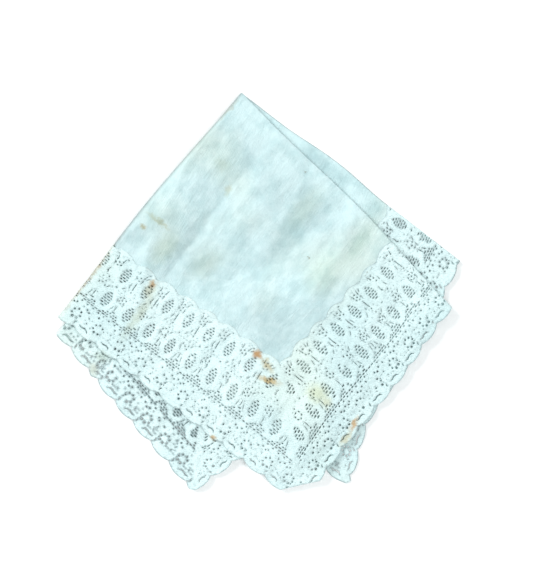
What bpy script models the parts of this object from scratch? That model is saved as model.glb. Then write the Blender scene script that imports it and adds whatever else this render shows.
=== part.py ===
"""Ladies' cotton handkerchief with a deep lace border, folded in quarters and lying flat.

Units are metres and +Z is up. The sheet is drawn flat first, as a square of cloth inside four
mitred lengths of lace. Every point is then carried through the folds: a first fold across the
sheet, a second fold of the doubled sheet, and one small corner that is turned under.
The four layers are called a, b, c and d from the top down.
"""

import math
from collections import namedtuple

import bmesh
import bpy
from mathutils import Vector
from mathutils.geometry import intersect_point_line

# Sizes of the flat handkerchief
HALF_SIDE = 0.150
LACE_WIDTH = 0.048
SEAM_GAP = 0.0003
SCALLOP_DEPTH = 0.0023
SCALLOP_POWER = 0.6
SCALLOPS_BY_FIRST_FOLD = 22
SCALLOPS_BY_SECOND_FOLD = 20
STEPS_PER_SCALLOP = 3
SCALLOP_FADE = 0.006

# Thickness of the cloth and the height from one layer to the next
CLOTH = 0.0010
LAYER_PITCH = 0.0015
FIRST_FOLD_RADIUS = LAYER_PITCH / 2
SECOND_FOLD_RADIUS = LAYER_PITCH
FOLD_STEPS = 3
FOLD_SLACK_REACH = 0.030

# A layer drops to the surface outside the layers below it
DROP_MARGIN = 0.009
DROP_LENGTH = 0.018

# The turned corner lifts the layer over it by one pitch, and a little way past it
TURNED_MARGIN = 0.003
TURNED_DROP_LENGTH = 0.012

# Steps of the meshes
CLOTH_STEPS = 12
LACE_ROWS = 5
LEAST_STEP_SHARE = 0.4
INVERSE_STEPS = 8
CUT_TOLERANCE = 0.00001

# The point of the sheet where both folds cross, flat and folded
CROSSING_FLAT = Vector((-0.006, -0.001))
CROSSING = Vector((-0.0081, 0.1031))

# Where the whole folded outline has its middle, so that the origin lies under it
OUTLINE_MIDDLE = Vector((0.00028, 0.00017))

# One quarter of the sheet is one layer. It has a corner of the sheet and the ends of two folds,
# each with its place on the flat sheet and its place when folded.
Quarter = namedtuple(
    "Quarter", "first_flat corner_flat second_flat first corner second above outside corner_radius"
)
QUARTERS = {
    "a": Quarter((0.150, 0.018), (0.150, 0.150), (-0.022, 0.150),
                 (0.1012, -0.0086), (0.0218, -0.1119), (-0.1036, -0.0138), 1, 1, 0.003),
    "b": Quarter((0.150, 0.018), (0.150, -0.150), (0.033, -0.150),
                 (0.1012, -0.0086), (-0.0343, -0.1051), (-0.1054, -0.0218), 1, -1, 0.005),
    "c": Quarter((-0.150, -0.020), (-0.150, -0.150), (0.033, -0.150),
                 (0.1060, 0.0155), (0.0474, -0.1012), (-0.1054, -0.0218), -1, -1, 0.004),
    "d": Quarter((-0.150, -0.020), (-0.150, 0.150), (-0.022, 0.150),
                 (0.1060, 0.0155), (-0.0187, -0.0927), (-0.1036, -0.0138), -1, 1, 0.005),
}

# The corner of layer a is turned under along a line between these two points of the flat sheet
TURNED_EDGE_FLAT = (Vector((0.1348, 0.150)), Vector((0.150, 0.1327)))
TURN_STEPS = 4

# How far an edge swings out of the straight line, towards the outside of its layer
Bow = namedtuple("Bow", "quarter edge at half_width depth")
BOWS = (
    Bow("b", "second", 0.50, 0.40, 0.0006),
    Bow("c", "first", 0.72, 0.28, -0.0050),
    Bow("a", "first", 0.35, 0.30, 0.0014),
)
CREASE_BOWS = (
    Bow("a", "second_fold", 0.50, 0.50, 0.0019),
    Bow("d", "second_fold", 0.50, 0.50, 0.0019),
    Bow("b", "second_fold", 0.50, 0.50, 0.0019),
    Bow("c", "second_fold", 0.50, 0.50, 0.0019),
    Bow("c", "first_fold", 0.42, 0.25, 0.0018),
    Bow("d", "first_fold", 0.42, 0.25, 0.0018),
    Bow("a", "first_fold", 0.55, 0.42, 0.0020),
    Bow("b", "first_fold", 0.55, 0.42, 0.0020),
)

# The lace of the top layer is drawn in towards the middle at its inner corner
Pull = namedtuple("Pull", "quarter along across reach_in reach_out move")
PULLS = (
    Pull("a", 0.69, 0.68, 0.66, 0.31, (-0.0032, 0.0082)),
)

# Soft ridges that the cloth keeps from its creases, as they lie on the folded cloth
Ridge = namedtuple("Ridge", "start middle end height width")
RIDGES = (
    Ridge((-0.0380, 0.0790), (-0.0430, 0.0440), (-0.0560, 0.0120), 0.0016, 0.0100),
    Ridge((-0.0060, 0.0660), (-0.0240, 0.0340), (-0.0450, 0.0070), 0.0010, 0.0060),
    Ridge((0.0470, 0.0470), (0.0400, 0.0230), (0.0310, 0.0050), 0.0012, 0.0060),
    Ridge((0.0180, 0.0020), (-0.0050, -0.0180), (-0.0300, -0.0450), 0.0009, 0.0100),
    Ridge((0.0560, -0.0200), (0.0300, -0.0500), (0.0250, -0.0800), 0.0010, 0.0080),
    Ridge((-0.0750, -0.0150), (-0.0450, -0.0420), (-0.0200, -0.0750), 0.0008, 0.0080),
)

# Lengths of lace: whether the first fold crosses them, or else the second, then the two
# quarters that they cross, the scallops of their edge and how far these are moved along it
LaceLength = namedtuple("LaceLength", "name by_first start end scallops shift")
LACE_LENGTHS = (
    LaceLength("lace_right_upper", True, "b", "a", SCALLOPS_BY_FIRST_FOLD, -0.0046),
    LaceLength("lace_right_lower", True, "c", "d", SCALLOPS_BY_FIRST_FOLD, -0.0017),
    LaceLength("lace_left_inner", False, "c", "b", SCALLOPS_BY_SECOND_FOLD, 0.0),
    LaceLength("lace_left_outer", False, "d", "a", SCALLOPS_BY_SECOND_FOLD, -0.0043),
)

CLOTH_COLOUR = (0.78, 0.86, 0.87, 1.0)
LACE_COLOUR = (0.82, 0.90, 0.90, 1.0)
CLOTH_ROUGHNESS = 0.85
LACE_ROUGHNESS = 0.80


def smooth(value):
    """Ease from 0 to 1."""
    value = min(1.0, max(0.0, value))
    return value * value * (3.0 - 2.0 * value)


def four_corners(quarter, flat):
    """A quarter's crossing, first fold end, sheet corner and second fold end."""
    if flat:
        ends = (quarter.first_flat, quarter.corner_flat, quarter.second_flat)
        return [CROSSING_FLAT] + [Vector(end) for end in ends]
    ends = (quarter.first, quarter.corner, quarter.second)
    return [CROSSING] + [Vector(end) for end in ends]


def blend_corners(corners, along, across):
    """The point at these shares of the way from the crossing to the two fold ends."""
    crossing, first, corner, second = corners
    near = crossing.lerp(first, along)
    far = second.lerp(corner, along)
    return near.lerp(far, across)


def shares_of(corners, point):
    """Where a point lies between four corners: the inverse of blend_corners."""
    crossing, first, corner, second = corners
    along = 0.5
    across = 0.5
    for _ in range(INVERSE_STEPS):
        miss = blend_corners(corners, along, across) - point
        by_along = (first - crossing).lerp(corner - second, across)
        by_across = (second - crossing).lerp(corner - first, along)
        area = by_along.x * by_across.y - by_along.y * by_across.x
        along -= (miss.x * by_across.y - miss.y * by_across.x) / area
        across -= (by_along.x * miss.y - by_along.y * miss.x) / area
    return along, across


def outward(start, end, inside):
    """The unit vector square to a line, on the side away from a point."""
    line = (end - start).normalized()
    square = Vector((line.y, -line.x))
    return square if square.dot(inside - start) < 0 else -square


def bump(value, at, half_width):
    """A smooth hump of height 1."""
    reach = abs(value - at) / half_width
    return 0.5 + 0.5 * math.cos(math.pi * reach) if reach < 1 else 0.0


def pulled(name, along, across):
    """The shift of a folded point by the pulls inside its layer."""
    shift = Vector((0.0, 0.0))
    for pull in PULLS:
        if pull.quarter != name:
            continue
        reach_along = pull.reach_in if along < pull.along else pull.reach_out
        reach_across = pull.reach_in if across < pull.across else pull.reach_out
        amount = bump(along, pull.along, reach_along) * bump(across, pull.across, reach_across)
        shift += Vector(pull.move) * amount
    return shift


def bowed(name, along, across):
    """The shift of a folded point by the bows of its layer's edges and folds."""
    quarter = QUARTERS[name]
    crossing, first, corner, second = four_corners(quarter, False)
    shift = Vector((0.0, 0.0))
    for bow in BOWS + CREASE_BOWS:
        if bow.quarter != name:
            continue
        if bow.edge == "first":
            way = outward(first, corner, crossing)
            amount = bump(across, bow.at, bow.half_width) * max(0.0, along) ** 3
        elif bow.edge == "second":
            way = outward(second, corner, crossing)
            amount = bump(along, bow.at, bow.half_width) * max(0.0, across) ** 3
        elif bow.edge == "first_fold":
            way = outward(crossing, first, corner)
            amount = bump(along, bow.at, bow.half_width) * max(0.0, 1 - across) ** 3
        else:
            way = outward(crossing, second, corner)
            amount = bump(across, bow.at, bow.half_width) * max(0.0, 1 - along) ** 3
        shift += way * (bow.depth * amount)
    return shift


def distance_outside(corners, point):
    """How far a point lies outside four corners, or 0 inside them."""
    nearest = math.inf
    inside = True
    middle = sum(corners, Vector((0.0, 0.0))) / len(corners)
    for index, start in enumerate(corners):
        end = corners[(index + 1) % len(corners)]
        if (point - start).dot(outward(start, end, middle)) > 0:
            inside = False
        foot, share = intersect_point_line(point.to_3d(), start.to_3d(), end.to_3d())
        if share < 0:
            foot = start.to_3d()
        elif share > 1:
            foot = end.to_3d()
        nearest = min(nearest, (point.to_3d() - foot).length)
    return 0.0 if inside else nearest


def cover(corners, point, margin=DROP_MARGIN, length=DROP_LENGTH):
    """1 over a layer and a little way past it, and 0 far from it."""
    return 1.0 - smooth((distance_outside(corners, point) - margin) / length)


LAYER_CORNERS = [four_corners(QUARTERS[name], False) for name in "dcb"]


def ridge_height(point):
    """How far the soft ridges lift the top layer here."""
    total = 0.0
    for ridge in RIDGES:
        nearest = math.inf
        for start, end in ((ridge.start, ridge.middle), (ridge.middle, ridge.end)):
            foot, share = intersect_point_line(
                point.to_3d(), Vector(start).to_3d(), Vector(end).to_3d()
            )
            share = min(1.0, max(0.0, share))
            foot = Vector(start).lerp(Vector(end), share)
            nearest = min(nearest, (point - foot).length)
        total += ridge.height * math.exp(-((nearest / ridge.width) ** 2))
    return total


def bend(distance, radius):
    """How a fold carries a point: its distance in from the fold's edge, and its rise, 0 to 1."""
    quarter_turn = radius * math.pi / 2
    if distance < quarter_turn:
        angle = distance / radius
        return radius * (1 - math.cos(angle)), math.sin(angle)
    slack = (quarter_turn - radius) * math.exp(-(distance - quarter_turn) / FOLD_SLACK_REACH)
    return distance - slack, 1.0


def turn_corner(flat):
    """Turn the corner of layer a under. Gives the point's new place and its rise, 0 to 1."""
    start, end = TURNED_EDGE_FLAT
    way = outward(start, end, CROSSING_FLAT)
    radius = LAYER_PITCH / 2
    past = (flat - start).dot(way) + radius
    if past <= 0:
        return flat, 1.0
    angle = past / radius
    if angle < math.pi:
        return flat + way * (radius * math.sin(angle) - past), (1 + math.cos(angle)) / 2
    return flat - way * (2 * past - math.pi * radius), 0.0


def turned_corner_corners():
    """The place of the turned corner under layer a, as four points of the folded cloth."""
    corners_flat = four_corners(QUARTERS["a"], True)
    corners = four_corners(QUARTERS["a"], False)
    start, end = TURNED_EDGE_FLAT
    tip = turn_corner(corners_flat[2])[0]
    places = (start, (start + end) / 2, end, tip)
    return [blend_corners(corners, *shares_of(corners_flat, place)) for place in places]


TURNED_CORNER = turned_corner_corners()


def fold(name, flat):
    """Carry a point of the flat sheet to its place in the folded handkerchief."""
    quarter = QUARTERS[name]
    turned = 1.0
    if name == "a":
        flat, turned = turn_corner(flat)
    corners_flat = four_corners(quarter, True)
    crossing, first, corner, second = corners_flat
    along_first = (first - crossing).normalized()
    along_second = (second - crossing).normalized()
    from_first = -outward(crossing, first, corner)
    from_second = -outward(crossing, second, corner)

    first_distance = max(0.0, (flat - crossing).dot(from_first))
    second_distance = max(0.0, (flat - crossing).dot(from_second))
    first_inset, first_rise = bend(first_distance, FIRST_FOLD_RADIUS)
    second_inset, second_rise = bend(second_distance, SECOND_FOLD_RADIUS)
    half = quarter.outside * FIRST_FOLD_RADIUS * first_rise
    second_inset -= half * math.sqrt(max(0.0, 1 - second_rise ** 2))
    level = 1.5 + quarter.above * second_rise * (SECOND_FOLD_RADIUS + half) / LAYER_PITCH

    moved = flat.copy()
    moved += along_first * ((second_inset - second_distance) / along_first.dot(from_second))
    moved += along_second * ((first_inset - first_distance) / along_second.dot(from_first))
    along, across = shares_of(corners_flat, moved)
    place = blend_corners(four_corners(quarter, False), along, across)
    place += bowed(name, along, across) + pulled(name, along, across)

    height = CLOTH / 2 + level / 3 * ridge_height(place)
    for step, corners in enumerate(LAYER_CORNERS):
        height += LAYER_PITCH * min(1.0, max(0.0, level - step)) * cover(corners, place)
    if name == "a":
        lift = cover(TURNED_CORNER, place, TURNED_MARGIN, TURNED_DROP_LENGTH)
        height += LAYER_PITCH * turned * lift
    return Vector((place.x - OUTLINE_MIDDLE.x, place.y - OUTLINE_MIDDLE.y, height))


def fold_stations(radius):
    """Distances from a fold's edge at which the bend needs a row of points."""
    return [radius * math.pi / 2 * step / FOLD_STEPS for step in range(FOLD_STEPS)]


def make_sheet(name, points, faces, colour, roughness):
    """One solid of the cloth's thickness around a folded surface."""
    mesh = bpy.data.meshes.new(name)
    mesh.from_pydata(points, [], faces)
    mesh.validate()
    piece = bpy.data.objects.new(name, mesh)
    bpy.context.scene.collection.objects.link(piece)
    thickness = piece.modifiers.new("cloth thickness", "SOLIDIFY")
    thickness.thickness = CLOTH
    thickness.offset = 0.0
    thickness.use_even_offset = True
    triangles = piece.modifiers.new("triangles", "TRIANGULATE")
    triangles.quad_method = "SHORTEST_DIAGONAL"
    material = bpy.data.materials.new(name)
    material.use_nodes = True
    shader = material.node_tree.nodes["Principled BSDF"]
    shader.inputs["Base Color"].default_value = colour
    shader.inputs["Roughness"].default_value = roughness
    mesh.materials.append(material)
    mesh.shade_smooth()
    return piece


class FlatSheet:
    """Points and faces of the flat cloth, where points at the same place are one point."""

    def __init__(self):
        self.index = {}
        self.places = []
        self.faces = []

    def point(self, name, flat):
        key = (round(flat.x, 7), round(flat.y, 7))
        if key not in self.index:
            self.index[key] = len(self.places)
            self.places.append((name, flat))
        return self.index[key]

    def grid(self, name, rows):
        """Faces between rows of points of one quarter."""
        marks = [[self.point(name, flat) for flat in row] for row in rows]
        for row, following in zip(marks, marks[1:]):
            for step in range(len(row) - 1):
                self.faces.append((row[step], row[step + 1], following[step + 1], following[step]))

    def folded(self):
        return [fold(name, flat) for name, flat in self.places]


def rows_run_upward(quarter):
    """Whether the faces between a quarter's rows point up from the flat sheet as they stand."""
    return quarter.above * quarter.outside > 0


def crease_point(quarter, first, reach):
    """The point on a fold line at this distance from the sheet's centre lines."""
    if first:
        end = Vector(quarter.first_flat)
        share = (math.copysign(reach, end.x) - CROSSING_FLAT.x) / (end.x - CROSSING_FLAT.x)
    else:
        end = Vector(quarter.second_flat)
        share = (math.copysign(reach, end.y) - CROSSING_FLAT.y) / (end.y - CROSSING_FLAT.y)
    return CROSSING_FLAT.lerp(end, share)


def make_centre_cloth():
    sheet = FlatSheet()
    reach = HALF_SIDE - LACE_WIDTH - SEAM_GAP / 2
    for name, quarter in QUARTERS.items():
        corner_flat = Vector(quarter.corner_flat)
        corner = Vector((math.copysign(reach, corner_flat.x), math.copysign(reach, corner_flat.y)))
        first = crease_point(quarter, True, reach)
        second = crease_point(quarter, False, reach)
        corners = (CROSSING_FLAT, first, corner, second)
        first_length = (first - CROSSING_FLAT).length
        second_length = (second - CROSSING_FLAT).length
        along_steps = spread(fold_stations(SECOND_FOLD_RADIUS), SECOND_FOLD_RADIUS, first_length)
        across_steps = spread(fold_stations(FIRST_FOLD_RADIUS), FIRST_FOLD_RADIUS, second_length)
        rows = []
        for across in across_steps:
            rows.append([blend_corners(corners, along, across) for along in along_steps])
        if not rows_run_upward(quarter):
            rows.reverse()
        sheet.grid(name, rows)
    return make_sheet("centre_cloth", sheet.folded(), sheet.faces, CLOTH_COLOUR, CLOTH_ROUGHNESS)


def spread(stations, radius, length):
    """Shares of a length: close together in the bend, then even steps to the end."""
    start = radius * math.pi / 2
    even = [start + (length - start) * step / CLOTH_STEPS for step in range(CLOTH_STEPS + 1)]
    return [distance / length for distance in stations + even]


def scallop(distance, pitch):
    """How far the scalloped edge lies inside the line over the tops of its scallops."""
    turn = distance / pitch
    return SCALLOP_DEPTH * (1 - abs(math.cos(math.pi * turn)) ** SCALLOP_POWER)


def rounded_corner(flat, radius):
    """Bring a point of the outer edge inside the round of a corner of the sheet."""
    centre = Vector((
        math.copysign(HALF_SIDE - radius, flat.x),
        math.copysign(HALF_SIDE - radius, flat.y),
    ))
    beyond = Vector((
        max(0.0, abs(flat.x) - abs(centre.x)),
        max(0.0, abs(flat.y) - abs(centre.y)),
    ))
    if beyond.length <= radius:
        return flat
    beyond = beyond.normalized() * radius
    return Vector((
        math.copysign(min(abs(flat.x), abs(centre.x) + beyond.x), flat.x),
        math.copysign(min(abs(flat.y), abs(centre.y) + beyond.y), flat.y),
    ))


def lace_rows(lace, name, pitch):
    """Rows of points across the lace in one quarter, from the fold to the mitre."""
    quarter = QUARTERS[name]
    radius = FIRST_FOLD_RADIUS if lace.by_first else SECOND_FOLD_RADIUS
    corner_flat = Vector(quarter.corner_flat)
    fold_flat = Vector(quarter.first_flat if lace.by_first else quarter.second_flat)
    start = fold_flat.y if lace.by_first else fold_flat.x
    end = corner_flat.y if lace.by_first else corner_flat.x
    side = math.copysign(1.0, end)
    length = abs(end - start)
    bend_length = radius * math.pi / 2
    stations = fold_stations(radius) + [bend_length]
    step = pitch / STEPS_PER_SCALLOP
    least = LEAST_STEP_SHARE * step
    count = round(2 * HALF_SIDE / step)
    for index in range(-STEPS_PER_SCALLOP, count + STEPS_PER_SCALLOP + 1):
        distance = (-HALF_SIDE + lace.shift + index * step - start) * side
        if bend_length + least < distance < length - least:
            stations.append(distance)
    stations.append(length)
    rows = []
    for distance in sorted(stations):
        row = []
        for line in range(LACE_ROWS + 1):
            reach = HALF_SIDE - (LACE_WIDTH - SEAM_GAP / 2) * (1 - line / LACE_ROWS)
            row.append(lace_point(lace, quarter, distance, length, reach, pitch))
        rows.append(row)
    return rows


def lace_point(lace, quarter, distance, length, reach, pitch):
    """A point of the lace: its distance from the fold along the edge, and its reach."""
    radius = FIRST_FOLD_RADIUS if lace.by_first else SECOND_FOLD_RADIUS
    bend_length = radius * math.pi / 2
    fold_point = crease_point(quarter, lace.by_first, reach)
    corner_flat = Vector(quarter.corner_flat)
    mitre = reach - SEAM_GAP / 2 * math.sqrt(2)
    if lace.by_first:
        start = fold_point.y
        side = math.copysign(1.0, corner_flat.y)
    else:
        start = fold_point.x
        side = math.copysign(1.0, corner_flat.x)
    room = mitre - start * side
    past_bend = max(0.0, distance - bend_length)
    stretch = (room - bend_length) / (length - bend_length)
    along = start + side * (min(distance, bend_length) + past_bend * stretch)
    edge = reach
    if reach >= HALF_SIDE:
        fade = smooth((length - distance) / SCALLOP_FADE)
        edge -= scallop(along + HALF_SIDE - lace.shift, pitch) * fade
    if lace.by_first:
        flat = Vector((math.copysign(edge, corner_flat.x), along))
    else:
        flat = Vector((along, math.copysign(edge, corner_flat.y)))
    if reach >= HALF_SIDE:
        flat = rounded_corner(flat, quarter.corner_radius)
    return flat


def cut_at_turned_edge(sheet):
    """Add rows of points to the lace where its corner turns under."""
    mesh = bmesh.new()
    quarter_of = mesh.verts.layers.int.new("quarter")
    names = list(QUARTERS)
    for name, flat in sheet.places:
        vertex = mesh.verts.new((flat.x, flat.y, 0.0))
        vertex[quarter_of] = names.index(name)
    mesh.verts.ensure_lookup_table()
    for face in sheet.faces:
        mesh.faces.new([mesh.verts[index] for index in face])
    start, end = TURNED_EDGE_FLAT
    way = outward(start, end, CROSSING_FLAT)
    radius = LAYER_PITCH / 2
    for step in range(TURN_STEPS + 1):
        place = start + way * (radius * (math.pi * step / TURN_STEPS - 1))
        bmesh.ops.bisect_plane(
            mesh,
            geom=mesh.verts[:] + mesh.edges[:] + mesh.faces[:],
            dist=CUT_TOLERANCE,
            plane_co=place.to_3d(),
            plane_no=way.to_3d(),
        )
    mesh.verts.index_update()
    cut = FlatSheet()
    on_turned_side = start.dot(way) - 4 * radius
    for vertex in mesh.verts:
        flat = Vector((vertex.co.x, vertex.co.y))
        name = "a" if flat.dot(way) > on_turned_side else names[vertex[quarter_of]]
        cut.places.append((name, flat))
    cut.faces = [[vertex.index for vertex in face.verts] for face in mesh.faces]
    mesh.free()
    return cut


def make_lace(lace):
    sheet = FlatSheet()
    pitch = 2 * HALF_SIDE / lace.scallops
    for name in (lace.start, lace.end):
        rows = lace_rows(lace, name, pitch)
        quarter = QUARTERS[name]
        if rows_run_upward(quarter) == lace.by_first:
            rows.reverse()
        sheet.grid(name, rows)
    if lace.end == "a":
        sheet = cut_at_turned_edge(sheet)
    return make_sheet(lace.name, sheet.folded(), sheet.faces, LACE_COLOUR, LACE_ROUGHNESS)


def main():
    for existing in list(bpy.data.objects):
        bpy.data.objects.remove(existing, do_unlink=True)
    make_centre_cloth()
    for lace in LACE_LENGTHS:
        make_lace(lace)


main()
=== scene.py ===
# Ladies' cotton handkerchief with a deep machine lace border, folded in quarters.
# Metres, +Z up. Everything is drawn on the flat sheet first and then carried through the folds.
import math
import random

import bpy
import numpy as np
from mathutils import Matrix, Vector, noise
from mathutils.geometry import delaunay_2d_cdt
from mathutils.kdtree import KDTree


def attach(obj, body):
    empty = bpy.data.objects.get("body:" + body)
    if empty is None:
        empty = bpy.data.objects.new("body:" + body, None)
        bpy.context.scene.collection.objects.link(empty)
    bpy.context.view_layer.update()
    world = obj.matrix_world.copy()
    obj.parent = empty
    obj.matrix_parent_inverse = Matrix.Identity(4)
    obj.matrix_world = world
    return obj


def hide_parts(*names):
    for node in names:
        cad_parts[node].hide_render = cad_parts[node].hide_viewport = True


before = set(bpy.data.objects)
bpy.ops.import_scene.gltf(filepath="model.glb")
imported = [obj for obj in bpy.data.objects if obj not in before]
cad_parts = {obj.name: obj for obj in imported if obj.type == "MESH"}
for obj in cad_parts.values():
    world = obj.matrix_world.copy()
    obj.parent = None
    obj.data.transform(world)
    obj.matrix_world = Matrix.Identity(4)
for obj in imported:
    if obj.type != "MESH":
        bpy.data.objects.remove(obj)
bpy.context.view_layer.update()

mm = 0.001


# The flat sheet and its folds

sheet = {
    "halfSide": 0.150,
    "laceWidth": 0.048,
    "crossingFlat": (-0.006, -0.001),      # where both folds cross, on the flat sheet
    "crossing": (-0.0081, 0.1031),         # and on the folded one
    "outlineMiddle": (0.00028, 0.00017),
    "layerPitch": 0.0015,                  # from one layer to the next
    "lowestMiddle": 0.0008,                # middle of the lowest layer over the surface
    "dropMargin": 0.009,                   # a layer drops outside the ones below it
    "dropLength": 0.018,
    "slackReach": 0.030,
    "bendSteps": 5,                        # rows of points in a quarter turn of a fold
    "rowSpacing": 0.0015,                  # of the points along such a row
    "rowLength": 0.170,                    # a little longer than any fold
    "foldClear": 0.0004,                   # free points keep this far from such rows
}

crossingFlat = np.array(sheet["crossingFlat"])
innerHalf = sheet["halfSide"] - sheet["laceWidth"]  # half a side of the square inside the lace

# Ends of the four folds: on the flat sheet and when folded. radius: in layer pitches; worn and
# shadeAmount: how wide the painted shade on the fold's rolled edge is, in millimetres, and how dark
foldEnds = {
    "right": {"flat": (0.150, 0.018), "folded": (0.1012, -0.0086),
              "radius": 0.5, "worn": 0.7, "shadeAmount": 0.35},
    "left": {"flat": (-0.150, -0.020), "folded": (0.1060, 0.0155),
             "radius": 0.5, "worn": 1.1, "shadeAmount": 0.8},
    "top": {"flat": (-0.022, 0.150), "folded": (-0.1036, -0.0138),
            "radius": 1.0, "worn": 2.5, "shadeAmount": 0.9},
    "bottom": {"flat": (0.033, -0.150), "folded": (-0.1054, -0.0218),
               "radius": 1.0, "worn": 2.5, "shadeAmount": 0.9},
}

# first and second: the folds of a quarter; above and outside: which layer it becomes; round: radius
# of its corner
quarters = {
    "a": {"first": "right", "second": "top", "cornerFlat": (0.150, 0.150), "corner": (0.0218, -0.1119),
          "above": 1, "outside": 1, "round": 0.003},
    "b": {"first": "right", "second": "bottom", "cornerFlat": (0.150, -0.150), "corner": (-0.0343, -0.1051),
          "above": 1, "outside": -1, "round": 0.005},
    "c": {"first": "left", "second": "bottom", "cornerFlat": (-0.150, -0.150), "corner": (0.0474, -0.1012),
          "above": -1, "outside": -1, "round": 0.004},
    "d": {"first": "left", "second": "top", "cornerFlat": (-0.150, 0.150), "corner": (-0.0187, -0.0927),
          "above": -1, "outside": 1, "round": 0.005},
}

# The corner of the top layer is turned under along this line of the flat sheet
turnedEdge = {"start": np.array((0.1348, 0.150)), "end": np.array((0.150, 0.1327)), "steps": 6,
              "margin": 0.003, "drop": 0.012}

# Edges and folds that swing out of the straight line: quarters, edge, where, half width, how far
bows = [
    ("b", "second", 0.50, 0.40, 0.0006),
    ("c", "first", 0.72, 0.28, -0.0050),
    ("a", "first", 0.35, 0.30, 0.0014),
    ("abcd", "secondFold", 0.50, 0.50, 0.0019),
    ("cd", "firstFold", 0.42, 0.25, 0.0018),
    ("ab", "firstFold", 0.55, 0.42, 0.0020),
]

# The lace of the top layer is drawn in towards the middle at its inner corner
pull = {"along": 0.69, "across": 0.68, "reachIn": 0.66, "reachOut": 0.31, "move": (-0.0032, 0.0082)}

# Creases of the top layer, in millimetres on the folded cloth, each drawn from the upper right to
# the lower left: its line, its height (below 0 for a trough), how far it reaches to the upper left
# and to the lower right, and how crisp it is (1 is a pressed edge, 2 is round)
creases = [
    {"line": [(-17.7, 88.8), (-26, 81), (-32.5, 74.3), (-38.5, 63.9), (-44.5, 48.6), (-50.7, 36.8),
              (-56.7, 23.3), (-58.8, 10.3), (-62, -6)],
     "height": 2.7, "upperLeft": 10.0, "lowerRight": 12.0, "crisp": 1.1},
    {"line": [(-3, 66), (-11.4, 57.1), (-16.6, 49.8), (-21.8, 42.5), (-27.6, 34.2), (-32.8, 26.9),
              (-37.7, 20.7), (-42.9, 14.5), (-47.8, 7.7)],
     "height": -1.9, "upperLeft": 7.0, "lowerRight": 4.0, "crisp": 1.1},
    {"line": [(52, 46), (37.4, 39.9), (21.8, 26.9), (13, 17), (6.2, 13.5), (0, 11)],
     "height": -2.0, "upperLeft": 14.0, "lowerRight": 5.0, "crisp": 1.25},
    {"line": [(49.4, 47.7), (50.8, 38.9), (46, 28.5), (41.1, 17.8), (36.4, 13), (32.6, 5.3), (27, -4)],
     "height": 1.7, "upperLeft": 4.5, "lowerRight": 6.5, "crisp": 1.05},
    {"line": [(46.3, 48.8), (43.2, 37), (39, 28.5), (31, 17.1), (20, 8)],
     "height": -0.9, "upperLeft": 5.0, "lowerRight": 2.8, "crisp": 1.1},
    {"line": [(18, 64), (6, 52), (-6, 38), (-16, 26)],
     "height": 0.7, "upperLeft": 5.0, "lowerRight": 8.0, "crisp": 1.6},
    {"line": [(56, -20), (30, -50), (25, -80)],
     "height": 0.9, "upperLeft": 8.0, "lowerRight": 8.0, "crisp": 2.0},
    {"line": [(62, 6), (40, -20), (16, -38), (-15, -52)],
     "height": 1.1, "upperLeft": 24.0, "lowerRight": 15.0, "crisp": 2.0},
    {"line": [(-75, -15), (-45, -42), (-20, -75)],
     "height": 0.7, "upperLeft": 8.0, "lowerRight": 8.0, "crisp": 2.0},
]

# Soft crumple of every layer: sizes along and across its direction in millimetres, and height; then
# how it falls off, gets finer and differs from layer to layer
crumple = {"direction": 52.0, "along": 15.0, "across": 7.5, "height": 0.74,
           "octaves": 4, "fall": 0.75, "finer": 2.2, "ofLevel": 0.35}


def smooth(value):
    value = np.clip(value, 0.0, 1.0)
    return value * value * (3.0 - 2.0 * value)


def fourCorners(name, place):  # place: flat or folded
    quarter = quarters[name]
    corner = quarter["cornerFlat" if place == "flat" else "corner"]
    start = sheet["crossingFlat" if place == "flat" else "crossing"]
    ends = [foldEnds[quarter[fold]][place] for fold in ("first", "second")]
    return [np.array(point) for point in (start, ends[0], corner, ends[1])]


def blendCorners(corners, along, across):
    crossing, first, corner, second = corners
    along = along[:, None]
    across = across[:, None]
    near = crossing + (first - crossing) * along
    far = second + (corner - second) * along
    return near + (far - near) * across


def sharesOf(corners, points):  # the inverse of blendCorners
    crossing, first, corner, second = corners
    along = np.full(len(points), 0.5)
    across = np.full(len(points), 0.5)
    for _ in range(8):
        miss = blendCorners(corners, along, across) - points
        byAlong = (first - crossing) + ((corner - second) - (first - crossing)) * across[:, None]
        byAcross = (second - crossing) + ((corner - first) - (second - crossing)) * along[:, None]
        area = byAlong[:, 0] * byAcross[:, 1] - byAlong[:, 1] * byAcross[:, 0]
        along = along - (miss[:, 0] * byAcross[:, 1] - miss[:, 1] * byAcross[:, 0]) / area
        across = across - (byAlong[:, 0] * miss[:, 1] - byAlong[:, 1] * miss[:, 0]) / area
    return along, across


def unit(vector):
    return vector / np.linalg.norm(vector)


def outward(start, end, inside):  # unit vector square to a line, away from a point
    line = unit(end - start)
    square = np.array((line[1], -line[0]))
    return square if square @ (inside - start) < 0 else -square


def bump(value, at, halfWidth):
    reach = np.minimum(np.abs(value - at) / halfWidth, 1.0)
    return 0.5 + 0.5 * np.cos(math.pi * reach)


def distanceToLine(points, start, end):
    line = end - start
    share = np.clip(((points - start) @ line) / (line @ line), 0.0, 1.0)
    return np.linalg.norm(points - (start + line * share[:, None]), axis=1)


def cover(corners, points, margin, length):  # 1 over a layer and a little past it, then 0
    middle = sum(corners) / len(corners)
    nearest = np.full(len(points), 1.0)
    inside = np.ones(len(points), dtype=bool)
    for index, start in enumerate(corners):
        end = corners[(index + 1) % len(corners)]
        nearest = np.minimum(nearest, distanceToLine(points, start, end))
        inside &= (points - start) @ outward(start, end, middle) <= 0
    outside = np.where(inside, 0.0, nearest)
    return 1.0 - smooth((outside - margin) / length)


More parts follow.
